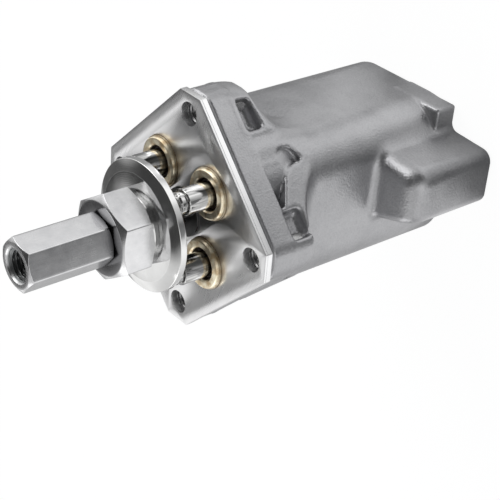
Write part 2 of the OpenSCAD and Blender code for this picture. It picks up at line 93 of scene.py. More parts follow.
# %% [markdown]
# The camera stands where the photographer stood. Its place and its three directions were fitted to
# the hexagons, holes and ridges of the object. A long lens from half a metre gives the mild
# perspective of a product picture. The valve lies on its side in the picture, so the camera is rolled.

# %% Camera
SENSOR_MM = 36
CAMERA_PLACE = Vector((0.41756, -0.06568, 0.26910))
CAMERA_LOOK = Vector((-0.81837, 0.08629, -0.56817)).normalized()
PICTURE_RIGHT = Vector((0.49695, -0.39027, -0.77507)).normalized()
LENS_MM = 98.05


def linked(name, data):
    """A new object of the scene with this data."""
    made = bpy.data.objects.new(name, data)
    bpy.context.scene.collection.objects.link(made)
    return made


def make_camera():
    """A camera whose columns are: the picture's right, its up, and backwards along the line of
    sight."""
    data = bpy.data.cameras.new("camera")
    data.lens = LENS_MM
    data.sensor_width = SENSOR_MM
    data.sensor_fit = "HORIZONTAL"
    data.clip_start = 0.01
    back = -CAMERA_LOOK
    up = back.cross(PICTURE_RIGHT).normalized()
    turn = Matrix((PICTURE_RIGHT, up, back)).transposed().to_4x4()
    camera = linked("camera", data)
    camera.matrix_world = Matrix.Translation(CAMERA_PLACE) @ turn
    bpy.context.scene.camera = camera


make_camera()
print("camera", [round(x, 3) for x in CAMERA_PLACE])

# %% [markdown]
# Shader trees grow long when each node is wired by hand. Here a socket is wrapped in a small class,
# so that plain signs such as + and * add the Math nodes. A second class is a shader tree, with one
# method that adds any node and a few for those that come often. The world and the floor use it too.
# A finish is the tree of one material, with its Principled shader.

# %% Signals, shader trees and finishes


class Signal:
    """A number or colour that varies over a surface. Arithmetic on it adds Math nodes to its tree."""

    def __init__(self, graph, socket):
        self.graph = graph
        self.socket = socket

    def math(self, operation, *others):
        inputs = dict(enumerate([self, *others]))
        return self.graph.node("ShaderNodeMath", inputs, operation=operation)

    def __add__(self, other):
        return self.math("ADD", other)

    def __mul__(self, other):
        return self.math("MULTIPLY", other)

    def root(self):
        return self.math("SQRT")


class Graph:
    """A shader tree. Sockets are given by number, or by name in small letters."""

    def __init__(self, tree):
        self.tree = tree

    def put(self, node, inputs):
        """Sets the value of each socket, or links a signal to it."""
        for name, value in inputs.items():
            socket = node.inputs[name.replace("_", " ").title() if isinstance(name, str) else name]
            if isinstance(value, Signal):
                self.tree.links.new(value.socket, socket)
            else:
                socket.default_value = value

    def node(self, kind, inputs, output=0, **settings):
        """Any node: its settings first, then the values or links of its sockets."""
        made = self.tree.nodes.new(kind)
        for name, value in settings.items():
            setattr(made, name, value)
        self.put(made, inputs)
        return Signal(self, made.outputs[output])

    def split(self, vector):
        """The x, y and z of a vector."""
        made = self.node("ShaderNodeSeparateXYZ", {0: vector}).socket.node
        return [Signal(self, socket) for socket in made.outputs]

    def spread(self, signal, low, high, from_low=0.3, from_high=0.7):
        """Carries a signal from one range to another and holds it there."""
        return self.node("ShaderNodeMapRange", {0: signal, 1: from_low, 2: from_high, 3: low, 4: high},
                         clamp=True)

    def mix(self, factor, first, second):
        """Colour between two colours, each a signal or red, green and blue. They are sockets 6 and 7
        of a Mix node, and its output is 2."""
        first, second = [end if isinstance(end, Signal) else (*end, 1) for end in (first, second)]
        return self.node("ShaderNodeMix", {0: factor, 6: first, 7: second}, 2, data_type="RGBA")

    def greys(self, place, stops):
        """Grey level that depends on a signal, from rows of place and grey level."""
        ramp = self.node("ShaderNodeValToRGB", {0: place})
        elements = ramp.socket.node.color_ramp.elements
        while len(elements) < len(stops):
            elements.new(1.0)
        for element, (where, grey) in zip(elements, stops):
            element.position = where
            element.color = (grey, grey, grey, 1)
        return ramp

    def either(self, factor, first, second):
        """The first shader where factor is zero and the second where it is one."""
        return self.node("ShaderNodeMixShader", {0: factor, 1: first, 2: second})

    def rays(self):
        """Two signals: one for rays from the camera, and one for rays that a glossy surface sends."""
        path = self.tree.nodes.new("ShaderNodeLightPath")
        return [Signal(self, path.outputs[name]) for name in ("Is Camera Ray", "Is Glossy Ray")]


class Finish(Graph):
    """One material. Its constants sit on the shader's own sockets, and varying values are linked."""

    def __init__(self, name, **constants):
        self.material = bpy.data.materials.new(name)
        self.material.use_nodes = True
        super().__init__(self.material.node_tree)
        self.shader = self.tree.nodes["Principled BSDF"]
        self.put(self.shader, constants)

    def place(self, scale=1.0, stretch=(1.0, 1.0, 1.0), turn=0.0):
        """Object coordinates in millimetres, turned about Z, then scaled."""
        raw = self.node("ShaderNodeTexCoord", {}, "Object")
        return self.node("ShaderNodeMapping", {
            "vector": raw, "rotation": (0, 0, turn),
            "scale": [MM / (scale * s) for s in stretch]}, vector_type="TEXTURE")

    def noise(self, scale=1.0, detail=2.0, roughness=0.5, **place):
        """Cloudy noise round one half, with as many blobs to a millimetre as scale says."""
        return self.node("ShaderNodeTexNoise", {
            "vector": self.place(scale, **place), "scale": 1.0, "detail": detail,
            "roughness": roughness})

    def radius(self):
        """Distance from the stick axis, in millimetres."""
        x, y = self.split(self.place())[:2]
        return (x * x + y * y).root()

    def height(self):
        """Height in millimetres."""
        return self.split(self.place())[2]

    def done(self, colour, rough, relief=None, depth_mm=0.0, strength=1.0):
        """Links colour, roughness and a relief from zero to one, depth_mm deep, as a bent normal."""
        self.put(self.shader, {"base_color": colour, "roughness": rough})
        if relief is not None:
            bent = self.node("ShaderNodeBump", {
                "strength": strength, "distance": depth_mm * MM, "height": relief})
            self.put(self.shader, {"normal": bent})
        return self.material


print("signals, shader trees and finishes are ready")

# %% [markdown]
# The body is shot-blasted cast aluminium. Blasting leaves a fine even grain that scatters the light,
# so the metal looks grey and soft. Two noises do it: a fine one bends the normal, and a coarse one
# moves the colour and the roughness a little, as the skin of a casting is never quite even.

# %% Finish of the casting


def cast_aluminium():
    skin = Finish("cast_aluminium", metallic=0.85)
    grain = skin.noise(1.3)
    patch = skin.noise(0.09, 3.0)
    speck = skin.spread(skin.noise(0.9, 1.0), 0, 1, 0.66, 0.74)
    light = skin.spread(patch, 0, 0.5, 0.35, 0.65) + skin.spread(grain, 0, 0.5)
    tone = skin.mix(light, (0.34, 0.34, 0.35), (0.47, 0.47, 0.48))
    colour = skin.mix(speck * 0.25, tone, (0.24, 0.24, 0.25))
    rough = skin.spread(patch, 0.33, 0.39) + skin.spread(grain, -0.03, 0.03)
    return skin.done(colour, rough, grain, 0.16, 0.8)


print("the casting's finish has grain, patches and specks")

# %% [markdown]
# The plate is ground steel. The grinding wheel leaves long scratches in one direction. Noise that is
# stretched a hundred times gives them, and it changes the roughness more than the colour, because
# scratches are seen by how they scatter the light. The disc is turned, so its lines are rings. The
# nuts are milled. Their thread is painted dark, as painted shade in the bore, and so are the faces
# where the two nuts meet, as painted shadow.

# %% Finishes of the machined steel
# Where the nuts get painted shade in the bore and painted shadow where they meet.
NUT_SEAM_Z = lock_high[2]
BORE_SHADE_RADII, SEAM_SHADOW_RADII = (6.0, 6.6), (13.6, 14.4)


def ground_steel():
    steel = Finish("ground_steel", metallic=1.0)
    scratch = steel.noise(stretch=(0.04, 5.0, 5.0), turn=0.35)
    cloud = steel.noise(0.045)
    tone = steel.mix(steel.spread(cloud, 0, 1), (0.76, 0.76, 0.765), (0.88, 0.88, 0.88))
    rough = steel.spread(cloud, 0.28, 0.34) + steel.spread(scratch, -0.04, 0.05)
    return steel.done(tone, rough, scratch, 0.003, 0.5)


def turned_steel():
    """Bright steel from the lathe, with a stretched reflection. Its rings are the sine of 9 times the
    distance from the stick axis, so they are 0.7 mm apart."""
    steel = Finish("turned_swash_steel", metallic=1.0, anisotropic=0.2)
    ring = (steel.radius() * 9.0).math("SINE")
    cloud = steel.noise(0.12, 3.0)
    tone = steel.mix(steel.spread(cloud, 0, 1), (0.6708, 0.6708, 0.6665), (0.78, 0.78, 0.775))
    rough = steel.spread(cloud, 0.10, 0.13) + ring * 0.01
    return steel.done(tone, rough, ring * 0.5 + 0.5, 0.0015, 0.5)


def milled_steel():
    """The flats of a hexagon bar: drawn, then plated, with faint lines along its length. The thread
    is painted dark, as painted shade in the bore, and so is the ground face where the two nuts meet,
    as painted shadow."""
    steel = Finish("milled_steel", metallic=1.0)
    line = steel.noise(stretch=(3.5, 3.5, 0.05))
    cloud = steel.noise(0.22, 4.0, 0.6)
    radius, height = steel.radius(), steel.height()
    # Painted shade: the thread inside the bore is darkened; the same mask raises the roughness there.
    bore = steel.spread(radius, 1.0, 0.0, *BORE_SHADE_RADII)
    # Painted shadow: the faces where the two nuts meet are darkened, round the seam height.
    seam_shadow = steel.spread(radius, 1.0, 0.0, *SEAM_SHADOW_RADII)
    seam_shadow = seam_shadow * steel.spread(height, 0.0, 1.0, NUT_SEAM_Z - 0.5, NUT_SEAM_Z)
    seam_shadow = seam_shadow * steel.spread(height, 1.0, 0.0, NUT_SEAM_Z + 0.6, NUT_SEAM_Z + 2.2)
    tone = steel.mix(steel.spread(cloud, 0, 1), (0.60, 0.60, 0.61), (0.70, 0.70, 0.705))
    # Both painted darkenings, in the bore and where the nuts meet, are mixed in as near black.
    tone = steel.mix(bore * 0.8, tone, (0.10, 0.11, 0.11))
    tone = steel.mix(seam_shadow * 0.8, tone, (0.10, 0.10, 0.105))
    rough = steel.spread(cloud, 0.22, 0.26) + steel.spread(line, -0.02, 0.03) + bore * 0.15
    return steel.done(tone, rough, line, 0.003, 0.3)


# The nuts are painted darker round this height, as painted shadow where they meet.
print("oil darkens the nuts round z =", round(NUT_SEAM_Z, 2))

# %% [markdown]
# The rods are hard chrome, ground and polished: almost a mirror. Their colour has painted
# reflections: dark and bright streaks along them.
# Brass turns brown where it isn't rubbed, so its noise runs from a pale yellow to a warm brown, and
# its foot, where it meets the plate, is painted darkest as painted shade. The joint and the inner
# pieces are steel with a black phosphate coat, oiled. Rubber is the only dull one.

# %% Finishes of the rods, bushes, joint and seals


def rod_chrome():
    chrome = Finish("rod_chrome", metallic=1.0)
    # Painted reflections: stretched noise makes dark and bright streaks along the rod, in its colour
    # and a little in its roughness.
    painted_reflection_streaks = chrome.noise(stretch=(0.5, 0.5, 0.03))
    tone = chrome.spread(painted_reflection_streaks, 0, 1, 0.42, 0.58)
    colour = chrome.mix(tone, (0.24, 0.24, 0.24), (0.64, 0.64, 0.63))
    return chrome.done(colour, chrome.spread(painted_reflection_streaks, 0.07, 0.13))


def bush_brass():
    brass = Finish("bush_brass", metallic=0.85)
    stain = brass.noise(0.35, 4.0)
    fine = brass.noise(2.4)
    rubbed = brass.spread(stain, 0, 1, 0.36, 0.60)
    colour = brass.mix(rubbed, (0.62, 0.47, 0.28), (1.0, 0.91, 0.70))
    # Painted shade: the lowest millimetre of the bush, where it meets the plate, is darkened to
    # brown-black.
    foot_shade = brass.spread(brass.height(), 0.75, 0.0, 0.5, 1.0)
    colour = brass.mix(foot_shade, colour, (0.16, 0.11, 0.06))
    rough = brass.spread(stain, 0.40, 0.30) + brass.spread(fine, -0.03, 0.04)
    return brass.done(colour, rough, fine, 0.004, 0.3)


def black_steel(name, low, high, rough_low=0.34, rough_high=0.5):
    """Phosphated or oiled steel, between two greys."""
    steel = Finish(name, metallic=0.9)
    cloud = steel.noise(0.5, 4.0)
    colour = steel.mix(steel.spread(cloud, 0, 1), [low] * 3, [high] * 3)
    return steel.done(colour, steel.spread(cloud, rough_low, rough_high), steel.noise(3.0), 0.006, 0.4)


def rubber(name, tone):
    soft = Finish(name, metallic=0.0)
    fine = soft.noise(2.0, 3.0)
    colour = soft.mix(soft.spread(fine, 0, 1), [0.7 * c for c in tone], tone)
    return soft.done(colour, soft.spread(fine, 0.5, 0.68), fine, 0.01, 0.4)


FINISHES = {
    "casting": cast_aluminium(),
    "plate": ground_steel(),
    "swash": turned_steel(),
    "hexagon": milled_steel(),
    "chrome": rod_chrome(),
    "brass": bush_brass(),
    "joint": black_steel("joint_steel", 0.05, 0.09),
    "spring": black_steel("spring_steel", 0.14, 0.24, 0.25, 0.38),
    "seat": black_steel("seat_steel", 0.25, 0.36),
    "thread": black_steel("thread_steel", 0.34, 0.46, 0.22, 0.34),
    "nitrile": rubber("nitrile", (0.025, 0.025, 0.027)),
    "wiper": rubber("wiper_rubber", (0.05, 0.035, 0.028)),
}
print("finishes:", ", ".join(FINISHES))

# %% [markdown]
# Each CAD node gets its finish by the first words of its name. Pieces that are replaced further down
# get one too, so nothing is ever left bare.

# %% Finishes on the CAD nodes
NODE_FINISH = {
    "valve_body": "casting", "mounting_plate": "plate", "bush_o_ring": "nitrile", "bush": "brass",
    "rod_wiper": "wiper", "pushrod": "chrome", "spring_seat": "seat", "return_spring": "spring",
    "metering_spring": "spring", "spool": "thread", "joint_long": "chrome", "joint_short": "chrome",
    "joint": "joint", "swash_plate": "swash", "lock_nut": "hexagon", "coupling_nut": "hexagon",
}


def finish_for(node):
    start = next(key for key in NODE_FINISH if node.startswith(key))
    return FINISHES[NODE_FINISH[start]]


for name, node in frame["nodes"].items():
    node.data.materials.clear()
    node.data.materials.append(finish_for(name))
print("finished", len(frame["nodes"]), "nodes")

# %% [markdown]
# Every visual piece below is made the same way: numpy gives an array of points in millimetres and an
# array of faces, and `add_piece` turns them into a mesh. It joins points that coincide, so the seam
# of a ring and the tip of a cone are closed, and it turns the faces outwards with one test: the
# volume inside a closed surface comes out positive only when its faces point outwards. `show` then
# puts the mesh on its body, with its finish, in place of the CAD nodes that it stands for.

# %% From arrays to meshes


def weld(points, faces):
    """Joins coincident points, and drops the corners of faces that fell together."""
    keys = np.round(points, 4)
    _, first, number = np.unique(keys, axis=0, return_index=True, return_inverse=True)
    faces = number.reshape(-1)[faces]
    same = faces == np.roll(faces, -1, axis=1)
    parts = [faces[~same.any(axis=1)]]
    if faces.shape[1] == 4:
        for corner in range(4):
            rest = np.delete(faces[same[:, corner] & (same.sum(axis=1) == 1)], corner, axis=1)
            parts.append(rest)
    return points[first], parts


def volume_of(points, parts):
    """Volume in cubic millimetres: the sum of the tetrahedra from the origin to each triangle."""
    total = 0.0
    for faces in parts:
        for corner in range(1, faces.shape[1] - 1):
            a, b, c = (points[faces[:, k]] for k in (0, corner, corner + 1))
            total += np.einsum("ij,ij->i", a, np.cross(b, c)).sum() / 6
    return total


def show(mesh, material, body, replaced, sharp_deg):
    """Object from a mesh, smooth between its sharp edges. It rides a body of the frame and may stand
    for CAD nodes."""
    mesh.shade_smooth()
    mesh.set_sharp_from_angle(angle=np.radians(sharp_deg))
    mesh.materials.append(material)
    piece = linked(mesh.name, mesh)
    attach(piece, body)
    for node in replaced:
        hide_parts(node)
    print(piece.name, len(mesh.polygons), "faces")
    return piece


def add_piece(name, points, faces, finish, body, slot, replaced, sharp_deg):
    """Piece from points in millimetres and quads."""
    points, parts = weld(np.asarray(points, float).reshape(-1, 3), np.asarray(faces))
    if volume_of(points, parts) < 0:
        parts = [faces[:, ::-1] for faces in parts]
    corners = np.concatenate([faces.reshape(-1) for faces in parts])
    sizes = np.concatenate([np.full(len(faces), faces.shape[1]) for faces in parts])
    mesh = bpy.data.meshes.new(name)
    mesh.vertices.add(len(points))
    mesh.vertices.foreach_set("co", (points * MM).reshape(-1))
    mesh.loops.add(len(corners))
    mesh.loops.foreach_set("vertex_index", corners.astype(np.int32))
    mesh.polygons.add(len(sizes))
    mesh.polygons.foreach_set("loop_start", (np.cumsum(sizes) - sizes).astype(np.int32))
    mesh.update(calc_edges=True)
    mesh.validate()
    show(mesh, FINISHES[finish], body, replaced, sharp_deg)


def grid_faces(rows, columns, close_rows=True):
    """Quads between the neighbours of a grid whose columns run round. Point (row, column) has number
    row * columns + column."""
    i = np.arange(rows if close_rows else rows - 1)[:, None]
    j = np.arange(columns)[None, :]
    down, right = (i + 1) % rows, (j + 1) % columns
    quad = [i * columns + j, down * columns + j, down * columns + right, i * columns + right]
    return np.stack(np.broadcast_arrays(*quad), axis=-1).reshape(-1, 4)


print("mesh tools are ready")

# %% [markdown]
# Machined pieces are drawn as a profile and turned round an axis, as on a lathe. Their look hangs on
# the edges: a real edge is never sharp, and its small rounding catches a line of light. So `rounded`
# takes a polygon and a radius for each corner and puts a true arc in it, tangent to both sides.

# %% Profiles and turning


def rounded_rows(corners, steps=7):
    """Polygons, one for each column, with an arc in each corner. The input has x, y and radius for
    each row and column.

    With half the corner's angle h, the arc starts radius / tan(h) from the corner, and its centre
    lies radius / sin(h) from it on the bisector. Its points turn evenly from one side to the other.
    """
    p, r = corners[..., :2], np.maximum(corners[..., 2:], 1e-6)
    a = np.roll(p, 1, axis=0) - p
    b = np.roll(p, -1, axis=0) - p
    a = a / np.linalg.norm(a, axis=-1, keepdims=True)
    b = b / np.linalg.norm(b, axis=-1, keepdims=True)
    half = np.arccos(np.clip((a * b).sum(axis=-1, keepdims=True), -1, 1)) / 2
    middle = a + b
    middle = middle / np.maximum(np.linalg.norm(middle, axis=-1, keepdims=True), 1e-9)
    centre = p + middle * r / np.sin(half)
    start = (p + a * r / np.tan(half) - centre) / r
    end = (p + b * r / np.tan(half) - centre) / r
    sweep = np.maximum(np.pi - 2 * half, 1e-5)[:, None]
    s = np.linspace(0, 1, steps)[None, :, None, None]
    arc = (np.sin((1 - s) * sweep) * start[:, None] + np.sin(s * sweep) * end[:, None]) / np.sin(sweep)
    return (centre[:, None] + r[:, None] * arc).reshape(-1, *p.shape[1:])


def rounded(corners):
    """One polygon with rounded corners, without points that coincide."""
    line = rounded_rows(np.asarray(corners, float)[:, None])[:, 0]
    return line[np.linalg.norm(line - np.roll(line, 1, axis=0), axis=1) > 1e-4]


def full_turn(steps):
    """Angles of that many even steps round an axis."""
    return np.linspace(0, 2 * np.pi, steps, endpoint=False)


def ring_mesh(rows, angle, centre=(0.0, 0.0)):
    """Points and faces of rows of radius and height, at the given angles round an upright axis:
    x = centre + radius * cos(angle), y = centre + radius * sin(angle), z = height."""
    radius, height = rows[..., 0], rows[..., 1]
    points = np.stack(np.broadcast_arrays(
        centre[0] + radius * np.cos(angle), centre[1] + radius * np.sin(angle), height), axis=-1)
    return points.reshape(-1, 3), grid_faces(len(rows), len(angle))


def turned(profile, steps, centre=(0.0, 0.0)):
    """A closed profile of radius and height, turned round an upright axis."""
    return ring_mesh(profile[:, None], full_turn(steps), centre)


def joined(*meshes):
    """Several meshes of points and quads as one."""
    starts = np.cumsum([0] + [len(points) for points, _ in meshes[:-1]])
    return (np.concatenate([points for points, _ in meshes]),
            np.concatenate([faces + start for (_, faces), start in zip(meshes, starts)]))


ROD_PLACES = [(ROD_CIRCLE, 0.0), (0.0, ROD_CIRCLE), (-ROD_CIRCLE, 0.0), (0.0, -ROD_CIRCLE)]
print("profiles can be rounded and turned")

# %% [markdown]
# The casting is where the CAD model looks too sharp: a sand casting has no edge without a radius, and
# its walls melt into each other. Such a shape is easier to write as a field than as faces. A field
# gives for each point its distance from the skin, less than zero inside. Two shapes are joined by the
# smaller distance and cut by the larger one, and both can be done with a radius, so that every corner
# and every root gets its rounding in the same line that makes it.

# %% Fields: joins and cuts with a radius


def cut_round(a, b, radius):
    """What is inside both fields. Their outer edge is rounded: near it the distance is measured from
    a centre line that lies radius inside both, and radius is taken off again."""
    a, b = a + radius, b + radius
    return np.hypot(np.maximum(a, 0), np.maximum(b, 0)) + np.minimum(np.maximum(a, b), 0) - radius


def join_round(a, b, radius):
    """What is inside either field, with a hollow of that radius along the line where they meet."""
    return -cut_round(-a, -b, radius)


def ease(value, low, high):
    """From zero at low to one at high, level at both ends."""
    t = np.clip((value - low) / (high - low), 0, 1)
    return t * t * (3 - 2 * t)


print("fields can be joined and cut")

# %% [markdown]
# The body has four round ridges, one over each rod, with flats between them on the diagonals. Turned
# by 45 degrees that is a square with very round corners. The flange is a square with cut corners. On
# each of its sides an arch-shaped pad stands beside the ridge, with a recess above it and a pocket at
# each end, where the foundry saved metal. A shallow dish lies over the top of the arch. All four
# sides are alike, so the field folds every point onto one side first: `out` is the distance from the
# stick, `along` runs along that side. Where a value changes with `along`, it fades out towards the
# fold, so that neighbouring sides meet without a step.

# %% Field of the casting, in millimetres
CORNER_CUT = 8.0
FLANGE_HALF = PLATE_W / 2 - 0.5
CORNER_HALF = (PLATE_W - CORNER_CUT) / np.sqrt(2)
RIDGE_R = 15.8
RIDGE_REACH = ROD_CIRCLE + RIDGE_R
FLAT_HALF = ROD_CIRCLE / np.sqrt(2) + RIDGE_R
STRIP_TOP, STRIP_END = BODY_TOP - 1.2, BODY_TOP - 11.4
PAD_INSET = 0.5
REAR_Z, HOLLOW_R, HOLLOW_START = -23.2, 18.0, 0.4
RECESS_REACH, RECESS_SIDE = 20.0, -15.4
DISH_CENTRE, DISH_R = (-0.8, -25.2), 6.5
POCKETS = [(14.4, 26.2, -21.6, 6.5), (-27.7, -17.0, -22.4, 5.0)]
TOP_PAD_INSET, TOP_PAD_Z, TOP_PAD_HALF = 1.4, -6.0, 3.0
BOSS_REACH, BOSS_START = 52.0, -67.5
BOSS_TOP, BOSS_TOP_SLOPE = 19.0, (0.9985, 0.055)
BOSS_UNDER, BOSS_UNDER_SLOPE = -2.0, (0.964, 0.266)
LUG_REACH, LUG_START = 30.2, -97.4
FOOT_SKIN = 0.08
MOUNT, MOUNT_R, MOUNT_DEEP = 28.0, 4.5, -60.0
MOUNT_PLACES = [(MOUNT * i, MOUNT * j) for i in (-1, 1) for j in (-1, 1)]
PORT_U, PORT_V, PORT_R, PORT_DEPTH = 5.0, 41.0, 7.2, 12.0
PRESSURE_PLACE = ((PORT_V + PORT_U) / np.sqrt(2), (PORT_U - PORT_V) / np.sqrt(2))
PORT_PLACES = ROD_PLACES + [(0.0, 0.0), PRESSURE_PLACE]


def square(a, b, half, radius):
    """Square of that half side with rounded corners."""
    return cut_round(np.abs(a) - half, np.abs(b) - half, radius)


def plan_field(x, y, u, v, inset, radii):
    """Outline of the flange, set in by inset: a square whose corners another square cuts. The radii
    are those of the two squares and of the edges between them."""
    sides, cuts, between = radii
    return cut_round(square(x, y, FLANGE_HALF - inset, sides),
                     square(u, v, CORNER_HALF - inset, cuts), between)


def rear_field(x, y, u, v, z, along, ridges):
    """The flange behind its strip. Its rear runs down to the ridges in a hollow. The wall is set in
    from the pad's end of a side up to 14 mm along it, and its rear edge is crisp up to the middle.
    From there on, and at the two corners on the u axis, the edge melts away."""
    inset = PAD_INSET * ease(along, -28.0, -25.5) * (1 - ease(along, 11.0, 14.0))
    wall = plan_field(x, y, u, v, inset, (1.5, 1.5, 2.0))
    reach = np.clip(HOLLOW_R - HOLLOW_START - ridges, 0, HOLLOW_R)
    sink = np.sqrt(np.maximum(HOLLOW_R ** 2 - reach ** 2, 0)) - (HOLLOW_R - HOLLOW_START)
    rear = REAR_Z + sink - z
    bulge = 7.0 * ease(along, -1.0, 6.0) * (1 - ease(along, 9.0, 14.0)) + 3.4 * ease(along, 9.0, 14.0)
    from_fold = np.abs(np.abs(x) - np.abs(y))
    melt = 0.7 + bulge * ease(from_fold, 0.0, 9.0) + 11.0 * ease(np.abs(u), 43.0, 49.0)
    return np.maximum(cut_round(wall, rear * 0.8, melt), z - STRIP_END - 2.0)


def arch_field(along, z):
    """Outline of the pad: below a line that falls by one in two, and beside a steep one, with a round
    shoulder between them."""
    slant = (z + 20.7) * 0.89 + (along + 7.8) * 0.456
    shoulder = along + 0.8 + 0.16 * (z + 31.0)
    return cut_round(slant, shoulder, 4.0)


def recess_field(out, along, z):
    """The recess between the strip and the arch of the pad, down to the ridge behind it."""
    lip = cut_round(-arch_field(along, z), cut_round(along - 0.4, -z - 33.2, 0.8), 0.3)
    keep = cut_round(lip, cut_round(z - STRIP_END, RECESS_SIDE - along, 0.6), 0.8)
    return cut_round(keep, RECESS_REACH - out, 0.5)


def dish_field(out, along, z):
    """A shallow dish round the top of the arch. Its floor stands 2.2 mm over the ridge at z = -16,
    and dips by a third of the way towards the foot. A circle ends it in a step."""
    floor = RIDGE_REACH + 2.2 + (z + 16.0) * 0.34 - out
    circle_edge = np.hypot(along - DISH_CENTRE[0], z - DISH_CENTRE[1]) - DISH_R
    return cut_round(floor, cut_round(circle_edge, -arch_field(along, z), 0.3), 1.5)


def pocket_field(out, along, z, start, end, low, depth):
    """A cored pocket in a side of the flange, from start to end along it, with a round bottom."""
    width = cut_round(start - along, along - end, 2.2)
    height = cut_round(low - z, z - STRIP_END - 0.2, 1.6)
    mouth = cut_round(width, height, 1.8)
    return cut_round(mouth, FLANGE_HALF - depth - out, 3.0)


def boss_field(u, v, z):
    """The boss of the pressure port: planes, each pair cut with the radius of its edge. The top and
    the underside have a draft, and the top edge gets rounder towards the flange."""
    outer = v - BOSS_REACH
    front = cut_round(outer, z - BOSS_START, 8.0)
    top = (u - BOSS_TOP) * BOSS_TOP_SLOPE[0] + outer * BOSS_TOP_SLOPE[1]
    under = (BOSS_UNDER - u) * BOSS_UNDER_SLOPE[0] + outer * BOSS_UNDER_SLOPE[1]
    edge = 5.0 + 2.2 * ease(z, -88.0, -64.0)
    block = cut_round(cut_round(front, top, edge), under, 3.0)
    return np.maximum(block, 8.0 - v)


def lug_field(u, v, z):
    """The square lug at the end of the body, beside the boss."""
    block = cut_round(cut_round(u - LUG_REACH, v - LUG_REACH, 1.3), z - LUG_START, 1.2)
    return np.maximum(block, np.maximum(6.0 - u, 6.0 - v))


def strip_field(x, y, u, v, z):
    """The even strip of the flange under the plate, and the smaller pad that the plate lies on."""
    plan = plan_field(x, y, u, v, 0.0, (1.2, 1.0, 2.0))
    strip = cut_round(cut_round(plan, z - STRIP_TOP, 1.0), STRIP_END - z, 0.6)
    inner = plan_field(x, y, u, v, TOP_PAD_INSET, (1.0, 1.0, 1.0))
    return strip, np.maximum(inner, np.abs(z - TOP_PAD_Z) - TOP_PAD_HALF)


def hole_field(x, y, z, place, radius, low, high):
    """Upright hole between two heights."""
    round_wall = np.hypot(x - place[0], y - place[1]) - radius
    return np.maximum(round_wall, np.maximum(low - z, z - high))


def casting_field(points):
    """Distance in millimetres from the skin of the casting, less than zero in the metal. The ridges
    are a square on the diagonals with very round corners. The rear of the flange joins them with a
    small radius on the pad's half of a side, and with a large one where its edge melts away."""
    x, y, z = points[..., 0], points[..., 1], points[..., 2]
    u, v = (x + y) / np.sqrt(2), (x - y) / np.sqrt(2)
    sideways = np.abs(y) > np.abs(x)
    out = np.where(sideways, np.abs(y), np.abs(x))
    along = np.where(sideways, -x * np.sign(y), y * np.sign(x))
    ridges = square(u, v, FLAT_HALF, RIDGE_R)
    rear = rear_field(x, y, u, v, z, along, ridges)
    rear = cut_round(rear, -recess_field(out, along, z), 0.45)
    pockets = [pocket_field(out, along, z, *sizes) for sizes in POCKETS]
    rear = cut_round(rear, -np.minimum(*pockets), 1.6)
    soft = ease(along, 2.0, 8.0) * ease(out - np.abs(along), 0.0, 9.0)
    skin = join_round(np.maximum(ridges, z - STRIP_TOP), rear, 0.5 + 3.5 * soft)
    skin = cut_round(skin, -dish_field(out, along, z), 0.25)
    strip, top_pad = strip_field(x, y, u, v, z)
    skin = np.minimum(join_round(skin, strip, 0.8), top_pad)
    skin = join_round(skin, boss_field(u, v, z), 3.6)
    skin = join_round(skin, lug_field(u, v, z), 1.2)
    skin = cut_round(skin, FOOT_Z + FOOT_SKIN - z, 2.2)
    for place in MOUNT_PLACES:
        skin = np.maximum(skin, -hole_field(x, y, z, place, MOUNT_R, MOUNT_DEEP, 10.0))
    for place in PORT_PLACES:
        skin = np.maximum(skin, -hole_field(x, y, z, place, PORT_R, -200.0, FOOT_Z + PORT_DEPTH))
    return skin


print("distance at the stick axis:", round(float(casting_field(np.array([0.0, 0.0, -50.0]))), 2))

# %% [markdown]
# A field has no faces yet. Surface nets find them: the space is cut into small cells, each cell that
# the skin passes through gets one point, and each grid line that crosses the skin gets one quad,
# between the four cells round it. It all runs on whole arrays. The points are then pulled onto the
# skin along the field's slope, which takes the steps of the grid out again. The layers are thin where
# the flange and the foot have their details, and thick between them, where the ridges are straight.

# %% From the field to a mesh


def ends_along(array, axis):
    """What an array holds at the low and at the high end of each grid line along an axis."""
    count = array.shape[axis] - 1
    return [np.take(array, range(start, start + count), axis=axis) for start in (0, 1)]


def nets(field, axes):
    """Surface nets of a field on a grid with the given x, y and z levels."""
    grid = np.stack(np.meshgrid(*axes, indexing="ij"), axis=-1)
    value = field(grid)
    count = np.array(value.shape) - 1
    total, hits = np.zeros((*count, 3)), np.zeros(count)
    for axis in range(3):
        low, high = ends_along(value, axis)
        here, there = ends_along(grid, axis)
        crossed = (low < 0) != (high < 0)
        share = np.where(crossed, low / np.where(crossed, low - high, 1), 0)[..., None]
        spot = (here + share * (there - here)) * crossed[..., None]
        others = [a for a in range(3) if a != axis]
        for i in (0, 1):
            for j in (0, 1):
                window = [slice(None)] * 3
                window[others[0]] = slice(i, i + count[others[0]])
                window[others[1]] = slice(j, j + count[others[1]])
                total += spot[tuple(window)]
                hits += crossed[tuple(window)]
    used = hits > 0
    number = np.full(value.shape, -1)
    number[:-1, :-1, :-1][used] = np.arange(used.sum())
    quads = []
    for axis in range(3):
        low, high = ends_along(value, axis)
        at = np.argwhere((low < 0) != (high < 0))
        one, two = np.roll(np.eye(3, dtype=int), -axis, axis=0)[1:]
        at = at[(at @ one > 0) & (at @ two > 0)]
        ring = np.stack([number[tuple((at - i * one - j * two).T)]
                         for i, j in ((0, 0), (1, 0), (1, 1), (0, 1))], axis=-1)
        outwards = low[tuple(at.T)] < 0
        quads.append(np.where(outwards[:, None], ring, ring[:, ::-1]))
    return total[used] / hits[used][:, None], np.concatenate(quads)


